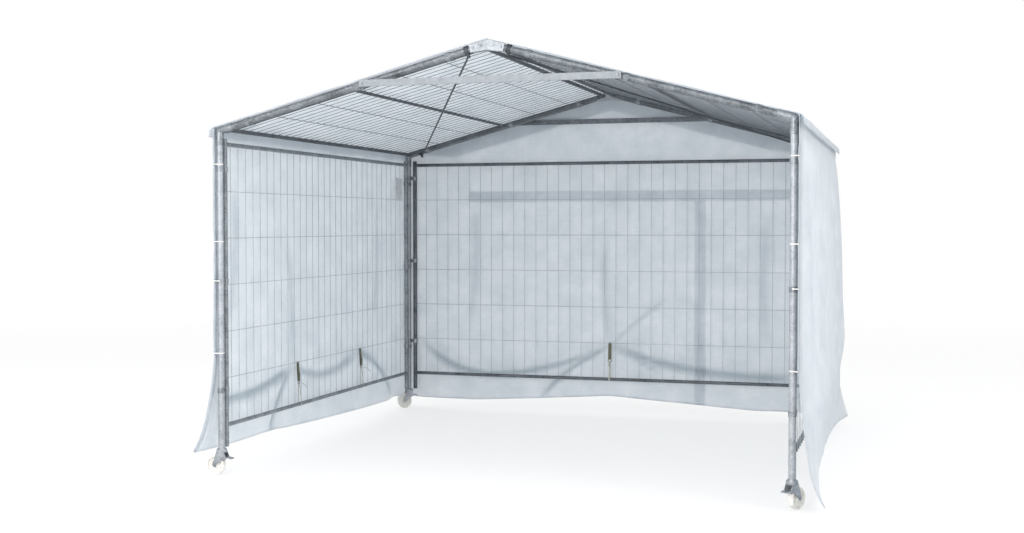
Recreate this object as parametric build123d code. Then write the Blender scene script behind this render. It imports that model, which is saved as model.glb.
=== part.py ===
"""A walk-in screen house on castors.

Three welded mesh panels stand between four corner posts, two more panels lie on gable trusses
as the roof, and a translucent sheet covers the roof, the two sides and the back. The front is open.

Millimetres. +X is to the right seen from the open front, +Y is towards the back wall and +Z is up.
The origin is on the ground, in the middle of the house.
"""

from build123d import *
import math
import os

# ---- driving dimensions -------------------------------------------------------------------
FRAME_WIDTH = 3580.0       # across, between the centre lines of the corner posts
FRAME_DEPTH = 3255.0       # front to back, between the same centre lines
EAVE_HEIGHT = 2193.0       # where a rafter's centre line meets a post's
RIDGE_RISE = 477.0         # how far the ridge stands above the eaves

POST_DIAMETER = 42.4
POST_WALL = 2.6

UPRIGHT_DIAMETER = 33.7    # end tubes of a mesh panel
UPRIGHT_WALL = 2.0
RAIL_DIAMETER = 26.9       # top and bottom tubes of a mesh panel
RAIL_WALL = 2.0
BOTTOM_RAIL_HEIGHT = 310.0
MESH_BAY = 300.0           # between horizontal wires
MESH_BAYS = 6
WIRE_PITCH = 100.0         # between upright wires, rounded to fill the panel
WIRE_DIAMETER = 4.0
PANEL_FOOT = 138.0         # how far a wall panel's uprights reach below its bottom rail
PANEL_HEAD = 35.0          # and above its top rail

TUBE_PITCH = 60.0          # from a post or rafter to the panel tube clamped beside it
WELD_GAP = 0.2             # between a wire and the tube or wire it is tacked to
LOOSE_GAP = 0.3            # all round a tube in a sleeve

ROOF_EAVE_RAIL = 30.0      # up the slope from the eave corner to a roof panel's lower rail
ROOF_RIDGE_RAIL = 46.0     # down the slope from the ridge to its upper rail
ROOF_TUBE_END = 14.0       # past each rail, to the ends of the roof panel's end tubes
STIFFENER_DIAMETER = 17.2
STIFFENER_WALL = 1.8

SLEEVE_WALL = 3.0
SLEEVE_LENGTH = 95.0

RIDGE_PLAY = 2.0           # between the two rafters at the ridge
COLLAR_HEIGHT = 265.0      # of the collar ties above the eaves
COLLAR_DEPTH = 40.0
COLLAR_THICKNESS = 20.0
COLLAR_WALL = 2.0
GUSSET_REACH = 110.0       # along each rafter from the ridge
GUSSET_DEPTH = 46.0
GUSSET_THICKNESS = 5.0
BOLT_DIAMETER = 8.0
HEAD_ACROSS = 13.0
HEAD_HEIGHT = 5.3
BOLT_PLAY = 0.5            # all round a bolt in its hole

CLAMP_WIDTH = 32.0
CLAMP_PLATE = 3.0
CLAMP_SPLIT = 9.0          # between the two saddles of a clamp
WALL_CLAMP_HEIGHTS = (540.0, 1236.0, 1950.0)
BACK_CLAMP_RISE = 48.0     # from a side panel's clamp to the back panel's on the same post
ROOF_CLAMP_SHARES = (0.11, 0.53, 0.86)   # of the rafter's length

BRACE_DIAMETER = 12.0
BRACE_DROP = 9.0           # clear of the tubes above it
BRACE_EYE = 6.0            # thickness of the hook ring round a rafter
BRACE_LUG_RADIUS = 11.0

WHEEL_DIAMETER = 125.0
WHEEL_WIDTH = 36.0
HUB_WIDTH = 42.0
HUB_RADIUS = 17.0
WHEEL_WEB = 12.0
WHEEL_RIM = 13.0
AXLE_DIAMETER = 12.0
RUNNING_CLEARANCE = 0.06
TRAIL = 42.0               # from the swivel's axis to the wheel's
FORK_PLATE = 3.5
FORK_SIDE_PLAY = 1.0       # between hub and fork
FORK_CROWN_RADIUS = 36.0
FORK_HEADROOM = 25.0       # from the tread to the top face of the fork's crown
HEAD_RADIUS = 34.0
HEAD_HEIGHT_OVER_FORK = 22.0     # from that face to the post's lower end
SWIVEL_PLAY = 0.6
KINGPIN_DIAMETER = 14.0
PLUG_LENGTH = 70.0
PEDAL_RANGE = 18.0
PEDAL_SETBACK = 31.0       # of the pedal's pin behind the swivel's axis
PEDAL_DROP = 12.0          # and below the top of the wheel
CASTOR_TURNS = {           # which way each wheel trails, degrees from +X
    "front_left": 180.0,
    "front_right": 58.0,
    "back_left": 216.0,
    "back_right": 132.0,
}

SHEET = 2.0                # the cover's stand-in thickness
COVER_GAP = 3.0            # between the cover and the widest fitting under it
HEM_HEIGHT = 90.0          # of the cover's lower edge above the ground
KNEE_HEIGHT = 640.0        # below this the cover hangs free and spreads
COVER_FLARE = 150.0        # how far its hem stands out at the sides
BACK_FLARE = 100.0         # and at the back
FRONT_HANG = 44.0          # how far the roof sheet reaches past the front rafters

STRAP_WIDTH = 25.0
STRAP_THICKNESS = 2.0
STRAPS_ON_BACK = (0.005,)          # along the wall, as a share of its length from the middle
STRAPS_ON_LEFT = (-0.173, 0.183)
TOGGLE_LENGTH = 42.0
TOGGLE_HEIGHT = 34.0
TOGGLE_THICKNESS = 7.0
TAG_WIDTH = 150.0
TAG_HEIGHT = 195.0
TAG_THICKNESS = 3.0
TAG_DROP = 115.0           # of its top edge below the panel's top rail
TAG_SETBACK = 213.0        # from the back post's centre line to the middle of the tag
TAG_HOLE_DIAMETER = 18.0

# ---- worked out from them -----------------------------------------------------------------
HALF_WIDTH = FRAME_WIDTH / 2
HALF_DEPTH = FRAME_DEPTH / 2
POST_RADIUS = POST_DIAMETER / 2
UPRIGHT_RADIUS = UPRIGHT_DIAMETER / 2
RAIL_RADIUS = RAIL_DIAMETER / 2
WIRE_RADIUS = WIRE_DIAMETER / 2
UPRIGHT_WIRES_OUT = RAIL_RADIUS + WELD_GAP + WIRE_RADIUS       # out of a panel's middle plane
CROSS_WIRES_OUT = UPRIGHT_WIRES_OUT - WIRE_DIAMETER - WELD_GAP
MESH_HEIGHT = MESH_BAY * MESH_BAYS
SLOPE = math.atan2(RIDGE_RISE, HALF_WIDTH)
RAFTER_LENGTH = math.hypot(HALF_WIDTH, RIDGE_RISE)
RIDGE_HEIGHT = EAVE_HEIGHT + RIDGE_RISE
SLEEVE_RADIUS = POST_RADIUS + LOOSE_GAP + SLEEVE_WALL
COVER_OFFSET = SLEEVE_RADIUS + COVER_GAP       # from the frame's centre planes to the cover
COLLAR_FACE = POST_RADIUS + WELD_GAP           # where a collar tie starts, out from a rafter
BACK_COVER = COLLAR_FACE + COLLAR_THICKNESS + HEAD_HEIGHT + COVER_GAP
BOLT_RADIUS = BOLT_DIAMETER / 2
WHEEL_RADIUS = WHEEL_DIAMETER / 2
FORK_TOP = WHEEL_DIAMETER + FORK_HEADROOM
POST_FOOT_HEIGHT = FORK_TOP + HEAD_HEIGHT_OVER_FORK      # lower end of a corner post

nodes = {}


def keep(name, *shapes):
    """Files the solids of these shapes under a node's name."""
    solids = [solid for shape in shapes for solid in shape.solids()]
    nodes.setdefault(name, []).extend(solids)


def rod(start, end, radius):
    """A round bar between two points."""
    run = Vector(*end) - Vector(*start)
    bar = Cylinder(radius, run.length, align=(Align.CENTER, Align.CENTER, Align.MIN))
    return Plane(origin=start, z_dir=run).location * bar


def tube(start, end, diameter, wall):
    """A round tube between two points."""
    return rod(start, end, diameter / 2) - rod(start, end, diameter / 2 - wall)


def slab(outline, plane, thickness):
    """A flat plate: an outline drawn on a plane, thickened along its normal."""
    return extrude(plane * make_face(Polyline(*outline, close=True)), thickness)


def hexagon_head(height):
    """A hexagonal bolt head or nut, standing on the XY plane."""
    return extrude(RegularPolygon(HEAD_ACROSS / 2, 6, major_radius=False), height)


def bolt_and_nut(length):
    """A bolt along +Z from z = 0, its head below and its nut beyond the given grip, in one group."""
    shank = Cylinder(BOLT_RADIUS, length + 2 * HEAD_HEIGHT,
                     align=(Align.CENTER, Align.CENTER, Align.MIN))
    head = Pos(0, 0, -HEAD_HEIGHT) * hexagon_head(HEAD_HEIGHT)
    nut = Pos(0, 0, length) * hexagon_head(HEAD_HEIGHT)
    nut -= Cylinder(BOLT_RADIUS, 10 * length)
    return [head + shank, nut]


def across(solid, from_point, to_point, radius):
    """The solid with a bolt hole through it."""
    return solid - rod(from_point, to_point, radius)


# ---- corner posts -------------------------------------------------------------------------
CORNERS = {
    "front_left": (-HALF_WIDTH, -HALF_DEPTH),
    "front_right": (HALF_WIDTH, -HALF_DEPTH),
    "back_left": (-HALF_WIDTH, HALF_DEPTH),
    "back_right": (HALF_WIDTH, HALF_DEPTH),
}
POST_TOP = EAVE_HEIGHT - 0.55 * POST_DIAMETER      # below the rafter's end, inside the elbow
RAFTER_START = 0.8 * POST_DIAMETER                 # and the rafter's end clear of the post's


def make_posts():
    for corner, (x, y) in CORNERS.items():
        keep(f"post_{corner}", tube((x, y, POST_FOOT_HEIGHT), (x, y, POST_TOP), POST_DIAMETER, POST_WALL))


# ---- gable trusses: rafters, elbows, collar tie, ridge gussets -----------------------------
def on_rafter(side, y, along, out=0.0):
    """A point up a rafter from the eave, moved out along the roof's normal; side is -1 left, +1 right."""
    x = side * (HALF_WIDTH - along * math.cos(SLOPE) + out * math.sin(SLOPE))
    return (x, y, EAVE_HEIGHT + along * math.sin(SLOPE) + out * math.cos(SLOPE))


def collar_bolt_along():
    """How far up a rafter the collar tie crosses it."""
    return COLLAR_HEIGHT / math.sin(SLOPE)


def gusset_bolts_along():
    return [RAFTER_LENGTH - share * GUSSET_REACH for share in (0.36, 0.82)]


def make_rafter(side, y):
    """A rafter, mitred at the ridge and drilled for the gussets and the collar tie."""
    past_ridge = RAFTER_LENGTH + POST_DIAMETER
    rafter = tube(on_rafter(side, y, RAFTER_START), on_rafter(side, y, past_ridge), POST_DIAMETER, POST_WALL)
    reach = 4 * POST_DIAMETER
    away = Align.MAX if side > 0 else Align.MIN
    beyond = Box(reach, reach, reach, align=(away, Align.CENTER, Align.CENTER))
    rafter -= Pos(side * RIDGE_PLAY / 2, y, RIDGE_HEIGHT) * beyond
    for along in [collar_bolt_along(), *gusset_bolts_along()]:
        x, _, z = on_rafter(side, y, along)
        rafter = across(rafter, (x, y - POST_DIAMETER, z), (x, y + POST_DIAMETER, z), BOLT_RADIUS + BOLT_PLAY)
    return rafter


def make_elbow(side, y):
    """The bent sleeve that joins a post to a rafter."""
    x = side * HALF_WIDTH
    corner = on_rafter(side, y, 0)
    foot = (x, y, EAVE_HEIGHT - SLEEVE_LENGTH)
    tip = on_rafter(side, y, SLEEVE_LENGTH)
    outside = rod(foot, corner, SLEEVE_RADIUS) + rod(corner, tip, SLEEVE_RADIUS)
    outside += Pos(*corner) * Sphere(SLEEVE_RADIUS)
    bore = POST_RADIUS + LOOSE_GAP
    inside = rod((x, y, foot[2] - 1), (x, y, POST_TOP + 1), bore)
    inside += rod(on_rafter(side, y, RAFTER_START - 1), on_rafter(side, y, SLEEVE_LENGTH + 1), bore)
    return outside - inside


def make_trusses():
    for end, y, out in (("front", -HALF_DEPTH, -1), ("back", HALF_DEPTH, 1)):
        for side_name, side in (("left", -1), ("right", 1)):
            keep(f"rafter_{end}_{side_name}", make_rafter(side, y))
            keep("eave_elbows", make_elbow(side, y))

        # collar tie: a rectangular tube bolted on the outer face of both rafters
        reach = HALF_WIDTH - collar_bolt_along() * math.cos(SLOPE)
        level = EAVE_HEIGHT + COLLAR_HEIGHT
        middle = y + out * (COLLAR_FACE + COLLAR_THICKNESS / 2)
        length = 2 * reach + COLLAR_DEPTH
        collar = Pos(0, middle, level) * (
            Box(length, COLLAR_THICKNESS, COLLAR_DEPTH)
            - Box(length + 1, COLLAR_THICKNESS - 2 * COLLAR_WALL, COLLAR_DEPTH - 2 * COLLAR_WALL))
        for side in (-1, 1):
            x = side * reach
            collar = across(collar, (x, middle - COLLAR_THICKNESS, level),
                            (x, middle + COLLAR_THICKNESS, level), BOLT_RADIUS + BOLT_PLAY)
            grip = POST_RADIUS + COLLAR_FACE + COLLAR_THICKNESS
            place = Plane(origin=(x, y + out * (COLLAR_FACE + COLLAR_THICKNESS), level), z_dir=(0, -out, 0))
            keep("truss_bolts", *[place.location * s for s in bolt_and_nut(grip)])
        keep(f"collar_tie_{end}", collar)

        # ridge gussets: a pair of bent-line plates, one each side of the rafters
        top = GUSSET_DEPTH / 2
        outline = [on_rafter(-1, 0, RAFTER_LENGTH - GUSSET_REACH, top)]
        outline += [(0, 0, RIDGE_HEIGHT + top / math.cos(SLOPE))]
        outline += [on_rafter(1, 0, RAFTER_LENGTH - GUSSET_REACH, top)]
        outline += [on_rafter(1, 0, RAFTER_LENGTH - GUSSET_REACH, -top)]
        outline += [(0, 0, RIDGE_HEIGHT - top / math.cos(SLOPE) - 0.3 * GUSSET_DEPTH)]
        outline += [on_rafter(-1, 0, RAFTER_LENGTH - GUSSET_REACH, -top)]
        flat = [(x, z) for x, _, z in outline]
        for face in (-1, 1):
            start = y + face * (COLLAR_FACE + (GUSSET_THICKNESS if face > 0 else 0))
            side_on = Plane(origin=(0, start, 0), x_dir=(1, 0, 0), z_dir=(0, -1, 0))
            plate = slab(flat, side_on, GUSSET_THICKNESS)
            for side in (-1, 1):
                for along in gusset_bolts_along():
                    x, _, z = on_rafter(side, y, along)
                    plate = across(plate, (x, y - 60, z), (x, y + 60, z), BOLT_RADIUS + BOLT_PLAY)
            keep("ridge_gussets", plate)
        grip = 2 * (COLLAR_FACE + GUSSET_THICKNESS)
        for side in (-1, 1):
            for along in gusset_bolts_along():
                x, _, z = on_rafter(side, y, along)
                place = Plane(origin=(x, y + out * grip / 2, z), z_dir=(0, -out, 0))
                keep("truss_bolts", *[place.location * s for s in bolt_and_nut(grip)])


# ---- welded mesh panels -------------------------------------------------------------------
def wire_places(length):
    """Where the upright wires stand along a panel."""
    bays = round(length / WIRE_PITCH)
    return [length * (i / bays - 0.5) for i in range(1, bays)]


def make_mesh(length, height):
    """A panel's wires: uprights across the two rails, and cross wires behind them between the end tubes."""
    overlap = RAIL_RADIUS - 5
    wires = [
        rod((x, -overlap, UPRIGHT_WIRES_OUT), (x, height + overlap, UPRIGHT_WIRES_OUT), WIRE_RADIUS)
        for x in wire_places(length)
    ]
    chord = math.sqrt(UPRIGHT_RADIUS**2 - (CROSS_WIRES_OUT - WIRE_RADIUS) ** 2)
    reach = length / 2 - chord - WELD_GAP
    for i in range(1, MESH_BAYS):
        level = height * i / MESH_BAYS
        wires.append(rod((-reach, level, CROSS_WIRES_OUT), (reach, level, CROSS_WIRES_OUT), WIRE_RADIUS))
    return wires


def make_panel(name, length, height, foot, head, place):
    """A panel: two end tubes, two rails notched to them, and the wires on the outer side."""
    ends = [(s * length / 2, -foot, 0) for s in (-1, 1)]
    tops = [(s * length / 2, height + head, 0) for s in (-1, 1)]
    for low, high in zip(ends, tops):
        keep(f"{name}_frame", place * tube(low, high, UPRIGHT_DIAMETER, UPRIGHT_WALL))
    for level in (0, height):
        rail = tube((-length / 2, level, 0), (length / 2, level, 0), RAIL_DIAMETER, RAIL_WALL)
        for low, high in zip(ends, tops):
            rail -= rod(low, high, UPRIGHT_RADIUS)
        keep(f"{name}_frame", place * rail.solids().sort_by(SortBy.VOLUME)[-1])
    keep(f"{name}_mesh", *[place * wire for wire in make_mesh(length, height)])


def roof_place(side, along):
    """The frame of a roof panel: X along the eave, Y up the slope, Z out of the roof."""
    outward = (side * math.sin(SLOPE), 0, math.cos(SLOPE))
    return Plane(origin=on_rafter(side, 0, along), x_dir=(0, side, 0), z_dir=outward)


ROOF_PANEL_LENGTH = FRAME_DEPTH - 2 * TUBE_PITCH
ROOF_PANEL_HEIGHT = RAFTER_LENGTH - ROOF_EAVE_RAIL - ROOF_RIDGE_RAIL


def make_panels():
    side_length = FRAME_DEPTH - 2 * TUBE_PITCH
    back_length = FRAME_WIDTH - 2 * TUBE_PITCH
    walls = {
        "left_wall": (side_length, (-HALF_WIDTH, 0), (0, -1, 0), (-1, 0, 0)),
        "right_wall": (side_length, (HALF_WIDTH, 0), (0, 1, 0), (1, 0, 0)),
        "back_wall": (back_length, (0, HALF_DEPTH), (-1, 0, 0), (0, 1, 0)),
    }
    for name, (length, (x, y), along, outward) in walls.items():
        place = Plane(origin=(x, y, BOTTOM_RAIL_HEIGHT), x_dir=along, z_dir=outward).location
        make_panel(name, length, MESH_HEIGHT, PANEL_FOOT, PANEL_HEAD, place)
    for name, side in (("roof_left", -1), ("roof_right", 1)):
        place = roof_place(side, ROOF_EAVE_RAIL).location
        make_panel(name, ROOF_PANEL_LENGTH, ROOF_PANEL_HEIGHT, ROOF_TUBE_END, ROOF_TUBE_END, place)
        # a thinner tube across the middle of the roof panel, notched to its end tubes
        level = ROOF_PANEL_HEIGHT / 2
        ends = [(s * ROOF_PANEL_LENGTH / 2, level, 0) for s in (-1, 1)]
        bar = tube(ends[0], ends[1], STIFFENER_DIAMETER, STIFFENER_WALL)
        for x, y, z in ends:
            bar -= rod((x, y - 60, z), (x, y + 60, z), UPRIGHT_RADIUS)
        keep(f"{name}_stiffener", place * bar.solids().sort_by(SortBy.VOLUME)[-1])


# ---- tube clamps --------------------------------------------------------------------------
CLAMP_BORES = (POST_RADIUS + LOOSE_GAP, UPRIGHT_RADIUS + LOOSE_GAP)
CLAMP_ROOM = TUBE_PITCH - sum(CLAMP_BORES) - 2 * CLAMP_PLATE       # between its two rounded ends
CLAMP_CENTRES = (
    -(CLAMP_BORES[0] + CLAMP_PLATE + CLAMP_ROOM / 2),
    CLAMP_BORES[1] + CLAMP_PLATE + CLAMP_ROOM / 2,
)


def clamp_saddles():
    """A clamp's two pressed saddles, its bolt at x = 0: the post's side at -X, the panel tube's at +X."""
    split = CLAMP_SPLIT / 2
    wide = CLAMP_CENTRES[1] - CLAMP_CENTRES[0]
    shape = Pos(sum(CLAMP_CENTRES) / 2, split) * Rectangle(wide, CLAMP_PLATE, align=(Align.CENTER, Align.MIN))
    for x, bore in zip(CLAMP_CENTRES, CLAMP_BORES):
        shape += Pos(x, 0) * Circle(bore + CLAMP_PLATE)
    for x, bore in zip(CLAMP_CENTRES, CLAMP_BORES):
        shape -= Pos(x, 0) * Circle(bore)
    shape &= Pos(0, split) * Rectangle(4 * TUBE_PITCH, 2 * TUBE_PITCH, align=(Align.CENTER, Align.MIN))
    half = extrude(shape, CLAMP_WIDTH / 2, both=True)
    half -= Rot(X=90) * Cylinder(BOLT_RADIUS + BOLT_PLAY, 2 * TUBE_PITCH)
    return [half, mirror(half, about=Plane.XZ)]


def make_clamp(group, tube_point, towards, along):
    """A clamp on the post or rafter through a point, reaching towards the panel tube beside it."""
    place = Plane(origin=tube_point, x_dir=towards, z_dir=along).location * Pos(-CLAMP_CENTRES[0], 0, 0)
    for half in SADDLES:
        keep(f"{group}_clamps", place * half)
    grip = CLAMP_SPLIT + 2 * CLAMP_PLATE
    through = place * Plane(origin=(0, grip / 2, 0), z_dir=(0, -1, 0)).location
    keep(f"{group}_clamp_bolts", *[through * s for s in bolt_and_nut(grip)])


SADDLES = clamp_saddles()


def make_clamps():
    for x_sign in (-1, 1):
        for y_sign in (-1, 1):
            x, y = x_sign * HALF_WIDTH, y_sign * HALF_DEPTH
            for height in WALL_CLAMP_HEIGHTS:
                make_clamp("wall", (x, y, height), (0, -y_sign, 0), (0, 0, 1))
                if y_sign > 0:   # the back panel's clamp sits just above the side panel's
                    make_clamp("wall", (x, y, height + BACK_CLAMP_RISE), (-x_sign, 0, 0), (0, 0, 1))
            up_slope = (-x_sign * math.cos(SLOPE), 0, math.sin(SLOPE))
            for share in ROOF_CLAMP_SHARES:
                make_clamp("roof", on_rafter(x_sign, y, share * RAFTER_LENGTH), (0, -y_sign, 0), up_slope)


# ---- roof braces --------------------------------------------------------------------------
def make_braces():
    """A rod under each roof panel, from the front rafter near the ridge to the back rafter at the eave."""
    bore = POST_RADIUS + LOOSE_GAP
    ring_radius = bore + BRACE_EYE
    drop = -(ring_radius + BRACE_DROP)
    width = 2 * BRACE_LUG_RADIUS + 4
    high = RAFTER_LENGTH - GUSSET_REACH - width
    low = SLEEVE_LENGTH + width
    for name, side in (("left", -1), ("right", 1)):
        start = Vector(*on_rafter(side, -HALF_DEPTH, high, drop))
        end = Vector(*on_rafter(side, HALF_DEPTH, low, drop))
        keep(f"roof_brace_{name}", rod(start, end, BRACE_DIAMETER / 2))
        past = (end - start).normalized() * WELD_GAP
        for along, y in ((high, -HALF_DEPTH), (low, HALF_DEPTH)):
            # a ring round the rafter, with a round lug below it that holds the rod's end
            ends = (on_rafter(side, y, along - width / 2), on_rafter(side, y, along + width / 2))
            ring = rod(*ends, ring_radius)
            ring -= rod(on_rafter(side, y, along - width), on_rafter(side, y, along + width), bore)
            top, bottom = on_rafter(side, y, along, 2 - ring_radius), on_rafter(side, y, along, drop - 10)
            lug = rod(top, bottom, BRACE_LUG_RADIUS)
            lug -= rod(start - past, end + past, BRACE_DIAMETER / 2 + 0.05)
            keep("brace_hooks", ring + lug)


# ---- castors ------------------------------------------------------------------------------
def castor_place(corner):
    """The frame of a castor: X towards its trailing wheel, Z up, the origin on the ground below the post."""
    x, y = CORNERS[corner]
    return Pos(x, y, 0) * Rot(Z=CASTOR_TURNS[corner])


PEDAL_PIVOT = (-PEDAL_SETBACK, WHEEL_DIAMETER - PEDAL_DROP)     # x and z in the castor's own frame
PEDAL_PIN = 8.0
SHOE_GAP = 0.8                   # left between the shoe and the tread with the brake on
SHOE_LAG = PEDAL_RANGE - 2       # degrees the shoe hangs back from the wheel with the brake off
FORK_INSIDE = HUB_WIDTH / 2 + FORK_SIDE_PLAY


def castor_head():
    """The fixed half: a plug in the post, the upper race and the riveted kingpin."""
    bore = POST_RADIUS - POST_WALL - LOOSE_GAP
    race_bottom = FORK_TOP + SWIVEL_PLAY
    rivet_top = FORK_TOP - FORK_PLATE - SWIVEL_PLAY
    pin = KINGPIN_DIAMETER / 2
    profile = Polyline(
        (0, POST_FOOT_HEIGHT + PLUG_LENGTH), (bore, POST_FOOT_HEIGHT + PLUG_LENGTH),
        (bore, POST_FOOT_HEIGHT), (POST_RADIUS + 4, POST_FOOT_HEIGHT),
        (HEAD_RADIUS, POST_FOOT_HEIGHT - 9), (HEAD_RADIUS, race_bottom),
        (pin, race_bottom), (pin, rivet_top), (pin + 4, rivet_top), (pin + 4, rivet_top - 4),
        (0, rivet_top - 4), close=True)
    return revolve(make_face(Plane.XZ * profile), Axis.Z)


def castor_fork():
    """The swivelling half: a round crown and two cheeks down to the axle."""
    crown = Pos(0, 0, FORK_TOP) * Cylinder(FORK_CROWN_RADIUS, FORK_PLATE,
                                          align=(Align.CENTER, Align.CENTER, Align.MAX))
    crown -= Cylinder(KINGPIN_DIAMETER / 2 + RUNNING_CLEARANCE, 4 * FORK_TOP)
    under = FORK_TOP - FORK_PLATE
    boss = 15.0
    pivot_x, pivot_z = PEDAL_PIVOT
    outline = [(-26, under), (27, under), (TRAIL + boss, WHEEL_RADIUS + 3), (TRAIL + 8, WHEEL_RADIUS - 12),
               (TRAIL - 8, WHEEL_RADIUS - 12), (TRAIL - boss, WHEEL_RADIUS + 3),
               (pivot_x + 13, pivot_z - 14), (pivot_x - 6, pivot_z - 8), (pivot_x - 9, pivot_z + 4)]
    fork = crown
    for side in (-1, 1):
        start = side * FORK_INSIDE + (FORK_PLATE if side > 0 else 0)
        cheek = slab(outline, Plane(origin=(0, start, 0), x_dir=(1, 0, 0), z_dir=(0, -1, 0)), FORK_PLATE)
        fork += cheek
    wide = 2 * FORK_INSIDE + 4 * FORK_PLATE
    fork -= rod((TRAIL, -wide, WHEEL_RADIUS), (TRAIL, wide, WHEEL_RADIUS), AXLE_DIAMETER / 2)
    fork -= rod((pivot_x, -wide, pivot_z), (pivot_x, wide, pivot_z), PEDAL_PIN / 2 + RUNNING_CLEARANCE)
    return fork


def castor_axle():
    """The axle bolt, with a head and a nut outside the cheeks."""
    face = FORK_INSIDE + FORK_PLATE
    axle = rod((TRAIL, -face, WHEEL_RADIUS), (TRAIL, face, WHEEL_RADIUS), AXLE_DIAMETER / 2)
    for side in (-1, 1):
        place = Plane(origin=(TRAIL, side * face, WHEEL_RADIUS), z_dir=(0, side, 0))
        axle += place.location * hexagon_head(HEAD_HEIGHT)
    return axle


def castor_wheel():
    """A solid nylon wheel: tread, web and hub, turned about its axle."""
    half = WHEEL_WIDTH / 2
    bore = AXLE_DIAMETER / 2 + RUNNING_CLEARANCE
    crown = 4.0
    outline = [(bore, HUB_WIDTH / 2), (HUB_RADIUS, HUB_WIDTH / 2), (HUB_RADIUS + 2, WHEEL_WEB / 2),
               (WHEEL_RADIUS - WHEEL_RIM, WHEEL_WEB / 2), (WHEEL_RADIUS - WHEEL_RIM + 2, half),
               (WHEEL_RADIUS - crown, half), (WHEEL_RADIUS, half - crown)]
    outline += [(r, -y) for r, y in reversed(outline)]
    wheel = revolve(make_face(Plane.XY * Polyline(*outline, close=True)), Axis.Y)
    return Pos(TRAIL, 0, WHEEL_RADIUS) * wheel


def castor_pedal():
    """The brake pedal: a pin across the cheeks, a tread plate outside and a shoe that faces the wheel."""
    x, z = PEDAL_PIVOT
    inside = FORK_INSIDE - 1.5
    reach = FORK_INSIDE + FORK_PLATE
    barrel = rod((x, -inside, z), (x, inside, z), PEDAL_PIN / 2 + 2.5)
    barrel += rod((x, -reach, z), (x, reach, z), PEDAL_PIN / 2)
    tread = [(x - 2, z + 5), (x - 2, z), (x - 44, z - 9), (x - 46, z - 5), (x - 40, z - 1)]
    to_wheel = math.atan2(WHEEL_RADIUS - z, TRAIL - x)
    tip = math.hypot(WHEEL_RADIUS - z, TRAIL - x) - WHEEL_RADIUS - SHOE_GAP
    shoe = [(x - 4, z - 3), (x + 4, z - 2)]
    for lag in (SHOE_LAG, SHOE_LAG + 9):
        angle = to_wheel - math.radians(lag)
        shoe.append((x + tip * math.cos(angle), z + tip * math.sin(angle)))
    for outline, half in ((tread, inside), (shoe, 0.6 * inside)):
        plane = Plane(origin=(0, half, 0), x_dir=(1, 0, 0), z_dir=(0, -1, 0))
        barrel += slab(outline, plane, 2 * half)
    return barrel


def make_castors():
    head = castor_head()
    pieces = {"fork": castor_fork(), "axle": castor_axle(), "wheel": castor_wheel(), "pedal": castor_pedal()}
    for corner in CORNERS:
        place = castor_place(corner)
        keep("castor_heads", place * head)
        for piece, shape in pieces.items():
            keep(f"castor_{corner}_{piece}", place * shape)


# ---- cover --------------------------------------------------------------------------------
def cover_section():
    """Inner and outer points of the cover across the house, from the left hem to the ridge."""
    wall = HALF_WIDTH + COVER_OFFSET
    points = []
    for thick in (0.0, SHEET):
        x = wall + thick
        eave = EAVE_HEIGHT + (COVER_OFFSET + thick) / math.cos(SLOPE) + (HALF_WIDTH - x) * math.tan(SLOPE)
        ridge = RIDGE_HEIGHT + (COVER_OFFSET + thick) / math.cos(SLOPE)
        points.append([(-x - COVER_FLARE, HEM_HEIGHT), (-x, KNEE_HEIGHT), (-x, eave), (0, ridge)])
    return points


def make_cover():
    inner, outer = cover_section()
    front = HALF_DEPTH + FRONT_HANG
    back = HALF_DEPTH + BACK_COVER
    skirt_front = back + SHEET + BACK_FLARE      # the loose lower corners swing out as far as the back hem
    parts = [("cover_{}", skirt_front), ("cover_{}", front), ("cover_roof_{}", front)]
    for side_name, side in (("left", 1), ("right", -1)):
        for i, (name, reach) in enumerate(parts):
            corners = [inner[i], inner[i + 1], outer[i + 1], outer[i]]
            outline = [(side * x, z) for x, z in corners]
            plane = Plane(origin=(0, back, 0), x_dir=(1, 0, 0), z_dir=(0, -1, 0))
            keep(name.format(side_name), slab(outline, plane, back + reach))
    # back wall and its gable, with the loose lower part spreading behind
    wide = -outer[2][0]
    eave, ridge = outer[2][1], outer[3][1]
    gable = [(-wide, KNEE_HEIGHT), (-wide, eave), (0, ridge), (wide, eave), (wide, KNEE_HEIGHT)]
    plane = Plane(origin=(0, back + SHEET, 0), x_dir=(1, 0, 0), z_dir=(0, -1, 0))
    keep("cover_back", slab(gable, plane, SHEET))
    skirt = [(back, KNEE_HEIGHT), (back + SHEET, KNEE_HEIGHT),
             (back + SHEET + BACK_FLARE, HEM_HEIGHT), (back + BACK_FLARE, HEM_HEIGHT)]
    plane = Plane(origin=(-wide, 0, 0), x_dir=(0, 1, 0), z_dir=(1, 0, 0))
    keep("cover_back", slab(skirt, plane, 2 * wide))


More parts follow.
